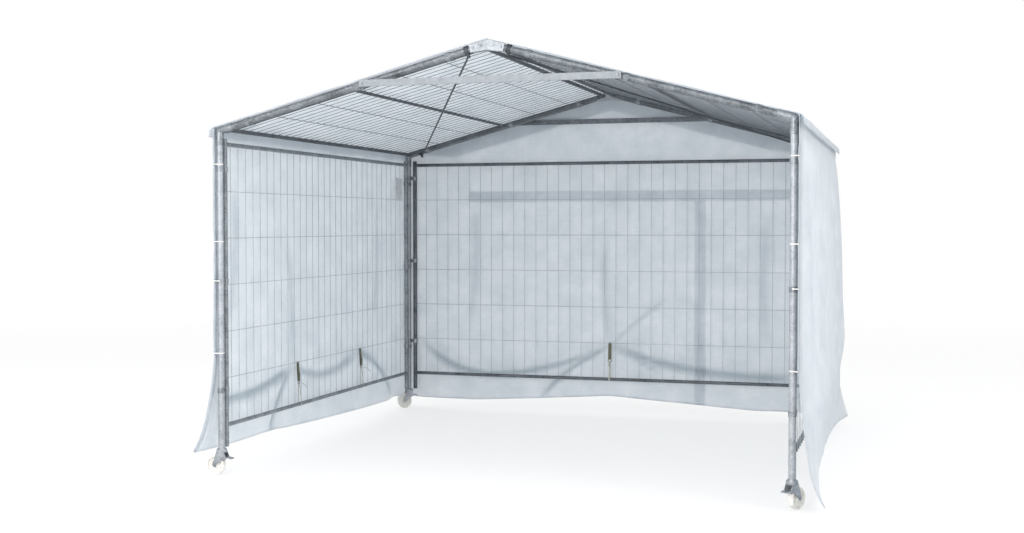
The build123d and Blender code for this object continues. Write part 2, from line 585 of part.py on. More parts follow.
# ---- straps and tag -----------------------------------------------------------------------
def wall_strap(place):
    """A webbing loop round the bottom rail and the first cross wire, and the toggle that tightens it.

    The place's X runs along the wall, its Y up from the bottom rail and its Z out of the house.
    """
    play = 2 * WELD_GAP
    ends = [(0, 0, RAIL_RADIUS + play), (MESH_HEIGHT / MESH_BAYS, CROSS_WIRES_OUT, WIRE_RADIUS + play)]
    outer, inner = [
        make_hull([edge for y, z, r in ends for edge in (Pos(z, y) * Circle(r + thick)).edges()])
        for thick in (STRAP_THICKNESS, 0)
    ]
    side_on = Plane(origin=(-STRAP_WIDTH / 2, 0, 0), x_dir=(0, 0, 1), z_dir=(-1, 0, 0))
    loop = extrude(side_on * (outer - inner), -STRAP_WIDTH)
    # the toggle lies flat on the loop's inner side
    (y0, z0, r0), (y1, z1, r1) = ends
    run = Vector(0, y1 - y0, z1 - z0)
    lean = math.asin((r0 - r1) / run.length)
    along = run.normalized().rotate(Axis.X, math.degrees(lean))
    normal = Vector(0, along.Z, -along.Y)
    foot = Vector(0, y0, z0) + normal * (r0 + STRAP_THICKNESS + WELD_GAP)
    lie = Plane(origin=foot + along * (0.62 * run.length), x_dir=(1, 0, 0), z_dir=normal)
    flat = (Align.CENTER, Align.CENTER, Align.MIN)
    toggle = Box(TOGGLE_LENGTH, TOGGLE_HEIGHT, TOGGLE_THICKNESS, align=flat)
    toggle = fillet(toggle.edges().filter_by(Axis.Z), 6)
    return place * loop, place * (lie.location * toggle)


def between_wires(length, share):
    """The middle of the gap between upright wires nearest to a share of the panel's length."""
    gaps = round(length / WIRE_PITCH)
    return length * ((math.floor((share + 0.5) * gaps) + 0.5) / gaps - 0.5)


def make_straps_and_tag():
    back_length = FRAME_WIDTH - 2 * TUBE_PITCH
    side_length = FRAME_DEPTH - 2 * TUBE_PITCH
    places = [
        Plane(origin=(between_wires(back_length, share), HALF_DEPTH, BOTTOM_RAIL_HEIGHT),
              x_dir=(-1, 0, 0), z_dir=(0, 1, 0))
        for share in STRAPS_ON_BACK]
    places += [
        Plane(origin=(-HALF_WIDTH, between_wires(side_length, share), BOTTOM_RAIL_HEIGHT),
              x_dir=(0, -1, 0), z_dir=(-1, 0, 0))
        for share in STRAPS_ON_LEFT]
    for place in places:
        loop, toggle = wall_strap(place.location)
        keep("tie_straps", loop)
        keep("strap_toggles", toggle)
    # a blank tag hung flat on the inner side of the left panel's wires
    x = -HALF_WIDTH - (CROSS_WIRES_OUT - WIRE_RADIUS) + WELD_GAP
    tag = Box(TAG_THICKNESS, TAG_WIDTH, TAG_HEIGHT, align=(Align.MIN, Align.CENTER, Align.MAX))
    tag = fillet(tag.edges().filter_by(Axis.X), 12)
    tag -= Pos(0, 0, -1.1 * TAG_HOLE_DIAMETER) * (Rot(Y=90) * Cylinder(TAG_HOLE_DIAMETER / 2, 20))
    top = BOTTOM_RAIL_HEIGHT + MESH_HEIGHT - TAG_DROP
    keep("tag_plate", Pos(x, HALF_DEPTH - TAG_SETBACK, top) * tag)


def main():
    make_posts()
    make_trusses()
    make_panels()
    make_clamps()
    make_braces()
    make_castors()
    make_cover()
    make_straps_and_tag()
    os.makedirs("parts", exist_ok=True)
    for name, solids in nodes.items():
        export_step(Compound(children=solids) if len(solids) > 1 else solids[0], f"parts/{name}.step")
    print(len(nodes), "nodes,", sum(len(s) for s in nodes.values()), "solids")


main()
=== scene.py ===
import math

import bmesh
import bpy
import numpy as np
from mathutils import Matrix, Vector


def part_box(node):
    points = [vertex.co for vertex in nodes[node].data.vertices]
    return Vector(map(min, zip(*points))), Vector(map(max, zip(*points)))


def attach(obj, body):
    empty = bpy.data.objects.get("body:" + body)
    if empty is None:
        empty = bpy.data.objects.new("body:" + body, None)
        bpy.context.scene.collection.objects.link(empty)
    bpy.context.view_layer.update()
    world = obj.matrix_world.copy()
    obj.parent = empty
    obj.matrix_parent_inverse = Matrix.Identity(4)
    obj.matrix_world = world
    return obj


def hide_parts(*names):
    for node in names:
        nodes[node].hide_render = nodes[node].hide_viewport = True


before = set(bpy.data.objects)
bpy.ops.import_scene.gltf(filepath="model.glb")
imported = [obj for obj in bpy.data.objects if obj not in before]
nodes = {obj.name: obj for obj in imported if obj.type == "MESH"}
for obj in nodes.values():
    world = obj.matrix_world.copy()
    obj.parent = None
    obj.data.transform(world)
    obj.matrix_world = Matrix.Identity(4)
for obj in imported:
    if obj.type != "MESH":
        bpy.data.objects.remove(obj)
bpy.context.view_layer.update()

# ---- camera -------------------------------------------------------------------------------
# A standing person's view into the open front, from a little right of the right hand post.
CAMERA_PLACE = (2.461, -9.16, 1.598)
CAMERA_TURN = 17.06      # degrees to the left of straight ahead
CAMERA_TILT = -1.81      # degrees above the horizon
CAMERA_LENS = 46.7       # mm, on a 36 mm wide sensor

bpy.ops.object.select_all(action="DESELECT")
bpy.ops.object.camera_add(
    location=CAMERA_PLACE,
    rotation=(math.radians(90 + CAMERA_TILT), 0, math.radians(CAMERA_TURN)))
camera = bpy.context.object
camera.data.lens = CAMERA_LENS
camera.data.sensor_width = 36
camera.data.clip_end = 200
bpy.context.scene.camera = camera

# ---- floor and light ----------------------------------------------------------------------
# A plain white studio: a wide pale floor, a white surround, and large soft lamps in front, at both
# sides and above.


def linear(code):
    """An sRGB hex colour as linear red, green, blue and alpha."""
    parts = [int(code[i:i + 2], 16) / 255 for i in (1, 3, 5)]
    return [c / 12.92 if c <= 0.04045 else ((c + 0.055) / 1.055) ** 2.4 for c in parts] + [1.0]


def add_node(tree, kind, links=(), **settings):
    """A node with its settings; links pairs an input's name or number with another node's output."""
    node = tree.nodes.new(kind)
    for key, value in settings.items():
        if hasattr(node, key):
            setattr(node, key, value)
        else:
            node.inputs[key.replace("_", " ")].default_value = value
    for socket, source in links:
        tree.links.new(source, node.inputs[socket])
    return node


def new_surface(name):
    """A new material, with its node tree and its main shader."""
    material = bpy.data.materials.new(name)
    material.use_nodes = True
    tree = material.node_tree
    return material, tree, tree.nodes["Principled BSDF"]


FLOOR_SIZE = 120.0       # m
WORLD_LEVEL = 0.85       # strength of the surround where it only lights
SHADOW_VEIL = 0.62       # share of plain white over the floor's own shading beside the object
FLOOR_NEAR = 3.0         # m from the middle, where the veil starts to thicken
FLOOR_FAR = 14.0         # m from the middle, where it is whole



def looked_at(tree):
    """1 where a ray comes from the camera, a reflection or clear glass, and 0 where it only lights."""
    rays = add_node(tree, "ShaderNodeLightPath")
    seen = rays.outputs["Is Camera Ray"]
    for name in ("Is Glossy Ray", "Is Transmission Ray"):
        seen = add_node(tree, "ShaderNodeMath", operation="MAXIMUM", links=[
            (0, seen), (1, rays.outputs[name])]).outputs[0]
    return seen


bpy.ops.mesh.primitive_plane_add(size=FLOOR_SIZE, location=(0, 0, 0))
floor = bpy.context.object
floor.name = "floor"
floor_paint, tree, paint = new_surface("matt white floor paint")
paint.inputs["Base Color"].default_value = linear("#f4f5f6")
paint.inputs["Roughness"].default_value = 0.9
paint.inputs["Specular IOR Level"].default_value = 0.1
floor_point = add_node(tree, "ShaderNodeTexCoord").outputs["Object"]
reach = add_node(tree, "ShaderNodeVectorMath", operation="LENGTH", links=[(0, floor_point)])
veil = add_node(tree, "ShaderNodeMapRange", links=[("Value", reach.outputs["Value"])])
veil.inputs["From Min"].default_value = FLOOR_NEAR
veil.inputs["From Max"].default_value = FLOOR_FAR
veil.inputs["To Min"].default_value = SHADOW_VEIL
veil.inputs["To Max"].default_value = 1.0
share = add_node(tree, "ShaderNodeMath", operation="MULTIPLY", links=[
    (0, looked_at(tree)), (1, veil.outputs[0])])
glow = add_node(tree, "ShaderNodeEmission", Color=(1, 1, 1, 1), Strength=1.0)
floor_mix = add_node(tree, "ShaderNodeMixShader", links=[
    (0, share.outputs[0]), (1, paint.outputs[0]), (2, glow.outputs[0])])
tree.links.new(floor_mix.outputs[0], tree.nodes["Material Output"].inputs["Surface"])
floor_paint.cycles.emission_sampling = "NONE"
floor.data.materials.append(floor_paint)

world = bpy.data.worlds.new("white surround")
bpy.context.scene.world = world
world.use_nodes = True
tree = world.node_tree
level = add_node(tree, "ShaderNodeMix", data_type="FLOAT", links=[(0, looked_at(tree))])
level.inputs[2].default_value = WORLD_LEVEL
level.inputs[3].default_value = 1.0
tree.links.new(level.outputs[0], tree.nodes["Background"].inputs["Strength"])
tree.nodes["Background"].inputs["Color"].default_value = (1, 1, 1, 1)

for name, spot, aim, size, power in (
        ("front lamp", (-1.5, -9.0, 3.6), (0, 0.5, 1.2), 5.0, 330),
        ("right lamp", (8.0, -3.0, 5.0), (1.0, 0, 1.2), 4.0, 330),
        ("left lamp", (-8.0, -2.0, 3.0), (-1.0, 0, 0.9), 4.0, 190),
        ("top lamp", (0, -2.0, 8.0), (0, 0, 1.0), 5.0, 160)):
    towards = (Vector(aim) - Vector(spot)).to_track_quat("-Z", "Y").to_euler()
    bpy.ops.object.light_add(type="AREA", location=spot, rotation=towards)
    lamp = bpy.context.object
    lamp.name = name
    lamp.data.size = size
    lamp.data.energy = power

bpy.context.scene.view_settings.view_transform = "Standard"

# ---- tube frame ---------------------------------------------------------------------------
# Hot-dip galvanised steel tube: posts, rafters and collar ties. Zinc freezes in pale grey
# spangles a few millimetres across, dulled by weather and brighter where hands and clamps rub.
SPANGLE_SHARE = 0.35     # how much the spangles count in the zinc's colour, beside the stains


def colour_ramp(tree, factor, *stops):
    """A blend between two colours; each stop is a place from 0 to 1 and a hex code."""
    ramp = add_node(tree, "ShaderNodeValToRGB", links=[(0, factor)])
    for element, (position, code) in zip(ramp.color_ramp.elements, stops):
        element.position = position
        element.color = linear(code)
    return ramp.outputs[0]


def raise_surface(tree, shader, height, strength, distance):
    """Lifts a shader's surface by a height, at most a distance in metres; gives the lifted normal."""
    bump = add_node(tree, "ShaderNodeBump", Strength=strength, Distance=distance, links=[("Height", height)])
    tree.links.new(bump.outputs[0], shader.inputs["Normal"])
    return bump.outputs[0]


def galvanised(name, pale, dark, roughness, spangle_mm=9.0, metallic=0.75):
    """Zinc on steel: spangles in two greys, with weather stains in larger soft patches."""
    metal, tree, shader = new_surface(name)
    shader.inputs["Metallic"].default_value = metallic
    place = add_node(tree, "ShaderNodeTexCoord").outputs["Object"]
    cells = add_node(tree, "ShaderNodeTexVoronoi", Scale=1000 / spangle_mm, links=[("Vector", place)])
    grey = add_node(tree, "ShaderNodeRGBToBW", links=[(0, cells.outputs["Color"])])
    stains = add_node(tree, "ShaderNodeTexNoise", Scale=9.0, Detail=6.0, Roughness=0.65,
                      links=[("Vector", place)])
    mixed = add_node(tree, "ShaderNodeMath", operation="MULTIPLY_ADD", links=[
        (0, grey.outputs[0]), (2, stains.outputs["Fac"])])
    mixed.inputs[1].default_value = SPANGLE_SHARE
    colour = colour_ramp(tree, mixed.outputs[0], (0.42, dark), (0.85, pale))
    tree.links.new(colour, shader.inputs["Base Color"])
    rough = add_node(tree, "ShaderNodeMapRange", links=[("Value", stains.outputs["Fac"])])
    rough.inputs["To Min"].default_value = roughness - 0.1
    rough.inputs["To Max"].default_value = roughness + 0.14
    tree.links.new(rough.outputs[0], shader.inputs["Roughness"])
    raise_surface(tree, shader, mixed.outputs[0], strength=0.25, distance=0.0006)
    return metal


def finish_nodes(material, *names):
    """Gives CAD nodes their finish."""
    for name in names:
        for slot in nodes[name].material_slots:
            slot.link = "OBJECT"
            slot.material = material


CORNERS = ("front_left", "front_right", "back_left", "back_right")
tube_zinc = galvanised("hot-dip galvanised tube", "#b6babf", "#8f9499", 0.45, metallic=0.65)
finish_nodes(tube_zinc, *[f"post_{c}" for c in CORNERS])
# The rafters get a darker copy of the tube zinc: painted shade.
finish_nodes(galvanised("rafter tube darkened as painted shade", "#8d9296", "#53585c", 0.5, metallic=0.6),
             *[f"rafter_{c}" for c in CORNERS])
finish_nodes(galvanised("galvanised box section", "#9ca1a6", "#858a8f", 0.65, metallic=0.1),
             "collar_tie_front")
# The back collar tie is the same box section painted darker, as shade.
finish_nodes(galvanised("box section darkened as painted shade", "#7d8287", "#4c5156", 0.5), "collar_tie_back")

# ---- mesh panels --------------------------------------------------------------------------
# Welded panels of thin tube and drawn wire, dipped after welding. The tube is painted dark as shade, and
# paler as painted light on the left wall; the roof's wires, which face down, are painted darker as shade.
shaded_panel_zinc = galvanised("panel tube darkened as painted shade", "#6c7176", "#3c4145", 0.5, metallic=0.55)
finish_nodes(shaded_panel_zinc, *[f"{p}_frame" for p in ("right_wall", "back_wall", "roof_left", "roof_right")])
# the left wall's frame: the same tube painted paler, as lit
finish_nodes(galvanised("panel tube painted paler as light", "#989ea2", "#62676c", 0.48, metallic=0.5), "left_wall_frame")
finish_nodes(shaded_panel_zinc, "roof_left_stiffener", "roof_right_stiffener")
finish_nodes(galvanised("drawn wire on walls", "#b9bfc4", "#8f959a", 0.5, spangle_mm=5.0, metallic=0.3),
             "left_wall_mesh", "right_wall_mesh", "back_wall_mesh")
# the roof's wires: the walls' wire painted darker, as shade where they face down
finish_nodes(galvanised("roof wire darkened as painted shade", "#7e8388", "#54595e", 0.55, spangle_mm=5.0, metallic=0.5),
             "roof_left_mesh", "roof_right_mesh")

# ---- fittings -----------------------------------------------------------------------------
# Pressed and bent steel: eave elbows, saddle clamps, gussets and brace hooks, thinly plated.
fitting_zinc = galvanised("pressed galvanised steel", "#a7acb1", "#5f6469", 0.4, spangle_mm=6.0)
finish_nodes(fitting_zinc, "eave_elbows", "wall_clamps", "roof_clamps")
finish_nodes(galvanised("galvanised gusset plate", "#bcc1c5", "#8f9499", 0.55, metallic=0.3), "ridge_gussets")
finish_nodes(galvanised("dark brace steel", "#50555a", "#2c3034", 0.5, metallic=0.5),
             "roof_brace_left", "roof_brace_right", "brace_hooks")
finish_nodes(galvanised("zinc-plated bolts", "#8c9196", "#45494d", 0.3, spangle_mm=3.0),
             "truss_bolts", "wall_clamp_bolts", "roof_clamp_bolts")

# ---- castors ------------------------------------------------------------------------------
# Zinc-plated pressed housings with a braked pedal, on cream-white moulded nylon wheels whose
# treads are scuffed grey by the ground.
castor_zinc = galvanised("zinc-plated castor housing", "#b4b9be", "#6d7277", 0.32, spangle_mm=4.0)
finish_nodes(castor_zinc, "castor_heads")
for corner in CORNERS:
    finish_nodes(castor_zinc, f"castor_{corner}_fork", f"castor_{corner}_axle", f"castor_{corner}_pedal")

NYLON_SCUFF_MM = 14.0
BUMP_MM = 0.4            # depth of moulded plastic's scuffs


def scuffed_plastic(name, clean, scuffed, roughness, scuff_mm):
    """Moulded plastic with soft scuffs in a second colour."""
    plastic, tree, shader = new_surface(name)
    place = add_node(tree, "ShaderNodeTexCoord").outputs["Object"]
    scuffs = add_node(tree, "ShaderNodeTexNoise", Scale=1000 / scuff_mm, Detail=8.0, Roughness=0.7,
                      links=[("Vector", place)])
    colour = colour_ramp(tree, scuffs.outputs["Fac"], (0.45, clean), (0.75, scuffed))
    tree.links.new(colour, shader.inputs["Base Color"])
    shader.inputs["Roughness"].default_value = roughness
    raise_surface(tree, shader, scuffs.outputs["Fac"], strength=0.3, distance=BUMP_MM / 1000)
    return plastic


finish_nodes(scuffed_plastic("moulded nylon wheel", "#eceae4", "#b9b7b0", 0.45, NYLON_SCUFF_MM),
             *[f"castor_{c}_wheel" for c in CORNERS])

# ---- tag ----------------------------------------------------------------------------------
# A blank moulded plastic plate with one hole, hooked flat on the left panel's wires.
finish_nodes(scuffed_plastic("plain tag sheet", "#d8dadb", "#b3b7ba", 0.4, 40.0), "tag_plate")

# ---- cover sheets -------------------------------------------------------------------------
# Net-reinforced polythene sheet, white and a little see-through. One length wraps the left side,
# the back and the right side: it is lashed to the posts, pulled in by the ties and slack below.
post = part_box("post_back_right")
HALF_WIDTH = (post[0].x + post[1].x) / 2
HALF_DEPTH = (post[0].y + post[1].y) / 2
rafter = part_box("rafter_back_left")
EAVE = post[1].z + 0.023         # where the rafters' centre lines meet the posts'
RIDGE = rafter[1].z - 0.022      # and where they meet each other
SLOPE = math.atan2(RIDGE - EAVE, HALF_WIDTH)
SIDE_GAP = 0.0285        # from the posts' centre planes out to the sheet
BACK_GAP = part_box("cover_back")[0].y - HALF_DEPTH + 0.001
FRONT_LAP = 0.035        # past the front posts' centre lines
CORNER_RADIUS = 0.03
HEM = 0.11               # about how high the hem hangs above the ground
GRID_MM = 44.0
SLACK = 1.015            # the sheet's cut size, as a share of the room it hangs in
THREAD_MM = 12.0         # between the net's threads
THREAD_EDGE = 0.6        # height of the wave across the net where a thread starts
THREAD_TINT = "#f2f4f6"
LIGHT_THROUGH = 0.62     # share of light that each face of the film lets on
SEAM_LIGHT_THROUGH = 0.76
FOLD_PAINTED_SHADE = "#cdd5d9"   # painted shade along the sheet's folds


def sheeting(name, pale, dark, light_through):
    """Reinforced polythene: milky film over a net of white threads, with painted shade in soft mottles and
    along its swags.
    """
    film, tree, shader = new_surface(name)
    uv = add_node(tree, "ShaderNodeUVMap").outputs["UV"]
    # soft darker mottles in the film's colour: painted shade standing for its creases
    crease_mottle = add_node(tree, "ShaderNodeTexNoise", Scale=5.0, Detail=9.0, Roughness=0.72, links=[("Vector", uv)])
    crease_shaded = colour_ramp(tree, crease_mottle.outputs["Fac"], (0.35, dark), (0.68, pale))
    split = add_node(tree, "ShaderNodeSeparateXYZ", links=[(0, uv)])
    lines = []
    for axis in ("X", "Y"):
        turn = add_node(tree, "ShaderNodeMath", operation="MULTIPLY", links=[(0, split.outputs[axis])])
        turn.inputs[1].default_value = 2 * math.pi * 1000 / THREAD_MM
        wave = add_node(tree, "ShaderNodeMath", operation="COSINE", links=[(0, turn.outputs[0])])
        crest = add_node(tree, "ShaderNodeMath", operation="SMOOTH_MAX", links=[(0, wave.outputs[0])])
        crest.inputs[1].default_value = THREAD_EDGE
        crest.inputs[2].default_value = 0.2
        lines.append(crest.outputs[0])
    net = add_node(tree, "ShaderNodeMath", operation="MAXIMUM", links=[(0, lines[0]), (1, lines[1])])
    threads = add_node(tree, "ShaderNodeMapRange", links=[("Value", net.outputs[0])])
    threads.inputs["From Min"].default_value = THREAD_EDGE
    tint = add_node(tree, "ShaderNodeMix", data_type="RGBA", blend_type="MULTIPLY", links=[
        (0, threads.outputs[0]), (6, crease_shaded)])
    tint.inputs[7].default_value = linear(THREAD_TINT)
    # painted shade along the folds, as the sheet's own attribute gives it
    painted_fold_shade = add_node(tree, "ShaderNodeAttribute", attribute_name="painted_fold_shade")
    shade = add_node(tree, "ShaderNodeMix", data_type="RGBA", blend_type="MULTIPLY", links=[
        (0, painted_fold_shade.outputs["Fac"]), (6, tint.outputs[2])])
    shade.inputs[7].default_value = linear(FOLD_PAINTED_SHADE)
    tree.links.new(shade.outputs[2], shader.inputs["Base Color"])
    shader.inputs["Roughness"].default_value = 0.42
    shader.inputs["Specular IOR Level"].default_value = 0.35
    crumple = add_node(tree, "ShaderNodeTexNoise", Scale=22.0, Detail=5.0, Roughness=0.6,
                       links=[("Vector", uv)])
    height = add_node(tree, "ShaderNodeMath", operation="MULTIPLY_ADD", links=[
        (0, threads.outputs[0]), (2, crumple.outputs["Fac"])])
    height.inputs[1].default_value = 0.06
    normal = raise_surface(tree, shader, height.outputs[0], strength=0.35, distance=0.004)
    through = add_node(tree, "ShaderNodeBsdfTranslucent", links=[
        ("Color", shade.outputs[2]), ("Normal", normal)])
    milky = add_node(tree, "ShaderNodeMixShader", links=[(1, shader.outputs[0]), (2, through.outputs[0])])
    milky.inputs[0].default_value = light_through
    tree.links.new(milky.outputs[0], tree.nodes["Material Output"].inputs["Surface"])
    return film


cover_film = sheeting("net-reinforced polythene sheet", "#f1f3f5", "#e3e7ea", LIGHT_THROUGH)
seam_film = sheeting("welded lap of polythene sheet", "#f4f5f7", "#e9ecef", SEAM_LIGHT_THROUGH)

SIDE_RUN = 2 * HALF_DEPTH + FRONT_LAP + BACK_GAP - CORNER_RADIUS
WRAP_LENGTH = 2 * (SIDE_RUN + math.pi / 2 * CORNER_RADIUS + HALF_WIDTH + SIDE_GAP - CORNER_RADIUS)


def wrap_path(distance):
    """A point along the wrap seen from above, and which way is outward there: x, y, out x, out y."""
    side, arc, middle = SIDE_RUN, math.pi / 2 * CORNER_RADIUS, WRAP_LENGTH / 2
    flip = 1 if distance > middle else -1
    d = distance if distance <= middle else WRAP_LENGTH - distance
    x0, y1 = -(HALF_WIDTH + SIDE_GAP), HALF_DEPTH + BACK_GAP
    if d < side:
        x, y, ox, oy = x0, -HALF_DEPTH - FRONT_LAP + d, -1.0, 0.0
    elif d < side + arc:
        a = (d - side) / CORNER_RADIUS
        x = x0 + CORNER_RADIUS * (1 - math.cos(a))
        y = y1 - CORNER_RADIUS * (1 - math.sin(a))
        ox, oy = -math.cos(a), math.sin(a)
    else:
        x, y, ox, oy = x0 + CORNER_RADIUS + (d - side - arc), y1, 0.0, 1.0
    return (-x if flip > 0 else x), y, (-ox if flip > 0 else ox), oy


def loose_parts(node):
    """The lowest and the highest corner of each separate solid of a CAD node."""
    mesh = bmesh.new()
    mesh.from_mesh(nodes[node].data)
    bmesh.ops.remove_doubles(mesh, verts=mesh.verts, dist=1e-6)
    corners, seen_verts = [], set()
    for first in mesh.verts:
        if first in seen_verts:
            continue
        group, heap = [], [first]
        seen_verts.add(first)
        while heap:
            vert = heap.pop()
            group.append(vert.co.copy())
            for edge in vert.link_edges:
                other = edge.other_vert(vert)
                if other not in seen_verts:
                    seen_verts.add(other)
                    heap.append(other)
        low = Vector([min(c[i] for c in group) for i in range(3)])
        high = Vector([max(c[i] for c in group) for i in range(3)])
        corners.append((low, high))
    mesh.free()
    return corners


straps = loose_parts("tie_straps")
strap_runs = []          # how far along the wrap each strap pulls it in
for low, high in straps:
    middle = (low + high) / 2
    if middle.x < -HALF_WIDTH / 2 and abs(middle.x + HALF_WIDTH) < 0.1:
        strap_runs.append(middle.y + HALF_DEPTH + FRONT_LAP)
    else:
        strap_runs.append(WRAP_LENGTH / 2 + middle.x)
STRAP_LEVEL = straps[0][1].z - 0.03
BACK_LIFT = 0.075        # the back's tie pulls the hem up in a wide tent
BACK_LIFT_REACH = 1.2    # half that tent's width
TIE_LEVELS = (0.78, 1.24, 1.49, 1.98)
BELLY = 0.07             # how far the slack right side blows out behind its front edge
SWEEP_REACH = 0.7        # how far back from the front edges the skirt is swept
RIGHT_REACH = 1.6        # length over which the right side's lower and wider hang dies away
CORNER_FLARE_REACH = 0.5     # how far along from each back corner the skirt flares more
SKIRT_TOP = 0.62         # the sheet is loose below this level
SKIRT_FADE = 0.5         # and its flare grows over this height
TOP_LAP = 0.022          # past the rafters' line, under the roof sheet
LASH_FROM, LASH_STEP = 0.55, 0.5     # lashings up the back posts: the lowest, and between them
HELD_NEAR = 0.03         # how near a tie the sheet is held by it
EDGE_NEAR = 0.04         # how near a front edge it is tied to the post
CORNER_NEAR = 0.05       # how near a back corner it is lashed
UNEVEN = 0.0006          # unevenness of the sheet before it hangs

columns = round(WRAP_LENGTH * 1000 / GRID_MM)
rows = round((EAVE - HEM) * 1000 / GRID_MM)
bpy.ops.object.select_all(action="DESELECT")
bpy.ops.mesh.primitive_grid_add(x_subdivisions=columns, y_subdivisions=rows, size=1)
wrap = bpy.context.object
wrap.name = "cover_wrap_sheet"
grid = np.array([v.co[:2] for v in wrap.data.vertices]) + 0.5
rng = np.random.default_rng(7)
start, cut, held = [], [], []
for u, v in grid:
    run = u * WRAP_LENGTH
    x, y, out_x, out_y = wrap_path(run)
    on_back = abs(out_y) > 0.5
    top = EAVE + TOP_LAP + (max(0.0, HALF_WIDTH - abs(x)) * math.tan(SLOPE) + 0.004 if on_back else 0.0)
    front_left = max(0.0, 1 - run / SWEEP_REACH)
    front_right = max(0.0, 1 - (WRAP_LENGTH - run) / SWEEP_REACH)
    right_side = min(1.0, max(0.0, 1.6 - (WRAP_LENGTH - run) / RIGHT_REACH))
    # the hem hangs low at the back corners and the right front, and higher along the left front
    hem = HEM - 0.02 + 0.10 * max(0.0, 1 - run / SIDE_RUN) - 0.05 * front_left - 0.055 * right_side
    hem += BACK_LIFT * max(0.0, 1 - abs(run - WRAP_LENGTH / 2) / BACK_LIFT_REACH)
    z = hem + v * (top - hem)
    cut.append((run * SLACK, 0.0, (z - HEM) * SLACK))
    low = max(0.0, (SKIRT_TOP - z) / SKIRT_FADE)
    corner = min(abs(run - SIDE_RUN), abs(WRAP_LENGTH - run - SIDE_RUN))
    # at the back corners the skirt flares clear of the castors' pedals
    flare = low ** 1.4 * (
        0.045 + 0.10 * front_left + 0.085 * right_side
        + 0.07 * max(0.0, 1 - corner / CORNER_FLARE_REACH) * (1 - right_side))
    ripple = 0.010 * low * math.sin(run * 6.1 + 1.3 * math.sin(run * 2.3))
    ripple += 0.004 * math.sin(run * 17.0 + 3 * z) * (z < EAVE)
    out = flare + max(-0.003, ripple)
    forward = -0.05 * low * (front_left + 1.3 * front_right)
    start.append((x + out_x * out, y + out_y * out + forward * (abs(out_x) > 0.5), z))
    near_edge = min(run, WRAP_LENGTH - run)
    tied = 0.0
    if z > top - HELD_NEAR or (on_back and z > EAVE + 0.01):
        tied = 1.0
    if near_edge < EDGE_NEAR and any(abs(z - level) < HELD_NEAR for level in TIE_LEVELS):
        tied = 1.0
    if any(abs(run - r) < HELD_NEAR for r in strap_runs) and abs(z - STRAP_LEVEL) < HELD_NEAR:
        tied = 1.0
    if min(near_edge, corner) < CORNER_NEAR and z < hem + HELD_NEAR:
        tied = 0.9
    if corner < CORNER_NEAR and z > LASH_FROM and (z - LASH_FROM) % LASH_STEP < CORNER_NEAR:
        tied = 1.0
    held.append(tied)

start = np.array(start)
start[:, 0] += rng.normal(0, UNEVEN, len(start))
start[:, 1] += rng.normal(0, UNEVEN, len(start))
wrap.data.vertices.foreach_set("co", start.ravel())
wrap_uv = wrap.data.uv_layers.active.data
for loop in wrap.data.loops:
    flat = cut[loop.vertex_index]
    wrap_uv[loop.index].uv = (flat[0], flat[2])


POST_FACE = 0.0215       # from the posts' centre planes out to their faces, where the sheet can rest
BOX_FRONT = 8.0          # how far forward the box reaches that holds the sheet off the frame
BOX_HEIGHT = 6.0


def drape(piece, cut, held, frames, push):
    """Lets a cut sheet fall into its hang, held where its ties are and pushed gently outward."""
    piece.shape_key_add(name="hung")
    flat = piece.shape_key_add(name="cut")
    flat.data.foreach_set("co", np.array(cut).ravel())
    group = piece.vertex_groups.new(name="ties")
    for index, weight in enumerate(held):
        if weight > 0:
            group.add([index], weight, "REPLACE")
    bpy.ops.object.select_all(action="DESELECT")
    bpy.ops.mesh.primitive_cube_add(size=1)
    inside = bpy.context.object
    inside.scale = (2 * (HALF_WIDTH + POST_FACE), BOX_FRONT + HALF_DEPTH + POST_FACE, BOX_HEIGHT)
    inside.location = (0, (HALF_DEPTH + POST_FACE - BOX_FRONT) / 2, 0)
    bpy.ops.object.modifier_add(type="COLLISION")
    inside.collision.thickness_outer = 0.004
    inside.collision.cloth_friction = 8
    bpy.ops.object.effector_add(type="FORCE", location=(0, 0.3, 1.0))
    wind = bpy.context.object
    wind.field.strength = push
    wind.field.falloff_power = 0
    cloth = piece.modifiers.new("Cloth", "CLOTH")
    settings = cloth.settings
    settings.quality = 5
    settings.mass = 0.12
    settings.tension_stiffness = 25
    settings.compression_stiffness = 12
    settings.shear_stiffness = 6
    settings.bending_stiffness = 0.25
    settings.air_damping = 2.0
    settings.vertex_group_mass = "ties"
    settings.rest_shape_key = flat
    cloth.collision_settings.distance_min = 0.004
    cloth.point_cache.frame_start = 1
    cloth.point_cache.frame_end = frames
    scene = bpy.context.scene
    for number in range(1, frames + 1):
        scene.frame_set(number)
    shape = piece.evaluated_get(bpy.context.evaluated_depsgraph_get()).data
    points = np.empty(len(shape.vertices) * 3)
    shape.vertices.foreach_get("co", points)
    piece.modifiers.remove(cloth)
    piece.shape_key_clear()
    piece.data.vertices.foreach_set("co", points)
    piece.data.update()
    bpy.data.objects.remove(inside)
    bpy.data.objects.remove(wind)
    scene.frame_set(1)


drape(wrap, cut, held, frames=45, push=0.12)


def apply_modifier(piece, modifier):
    """Makes a modifier's shape the piece's own."""
    bpy.context.view_layer.objects.active = piece
    bpy.ops.object.modifier_apply(modifier=modifier.name)


def thicken(piece, thickness):
    """Gives a flat piece its thickness, half of it on each side."""
    modifier = piece.modifiers.new("thickness", "SOLIDIFY")
    modifier.thickness = thickness
    modifier.offset = 0
    apply_modifier(piece, modifier)


def finish_sheet(piece, thickness, film):
    """Gives a sheet its thickness, its smooth shading and its film."""
    thicken(piece, thickness)
    piece.data.shade_smooth()
    piece.data.materials.clear()
    piece.data.materials.append(film)


rounding = wrap.modifiers.new("round", "SUBSURF")
rounding.levels = 1
rounding.render_levels = 1
apply_modifier(wrap, rounding)

